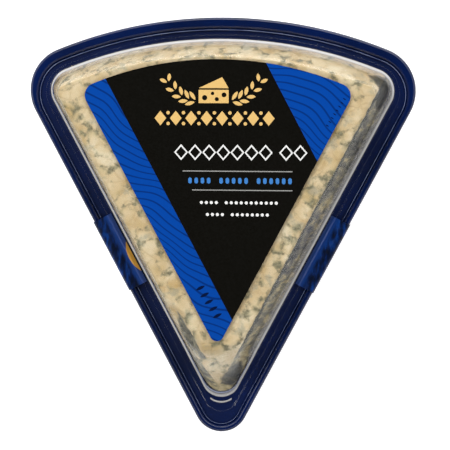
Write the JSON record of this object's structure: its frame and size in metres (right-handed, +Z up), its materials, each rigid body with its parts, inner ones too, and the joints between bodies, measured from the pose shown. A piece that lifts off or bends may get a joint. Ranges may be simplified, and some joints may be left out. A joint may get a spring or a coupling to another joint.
{
  "type": "blue cheese wedge in a retail pack",
  "caption": "Wedge of blue-veined cheese shut in a shallow opaque tray under a clear domed lid, with a plain printed top label and side seals.",
  "frame": {"origin": "middle of the pack's outline, on the surface it stands on", "axes": "+Z up through the label, +Y from the wedge's tip to its round back, +X to the right seen from above with the tip towards the viewer"},
  "size_m": [0.1112, 0.1206, 0.0224],
  "materials": {
    "tray_blue": "thermoformed opaque dark blue sheet, satin gloss",
    "lid_clear": "thermoformed clear sheet, glossy",
    "cheese": "moist cream paste with grey-blue mould veins",
    "label_print": "printed satin label in black and blue",
    "seal_film": "printed satin film in dark blue"
  },
  "bodies": {
    "root": {"tray": "tray_blue", "lid": "lid_clear", "cheese": "cheese", "label": "label_print", "seal_left": "seal_film", "seal_right": "seal_film"}
  },
  "joints": []
}
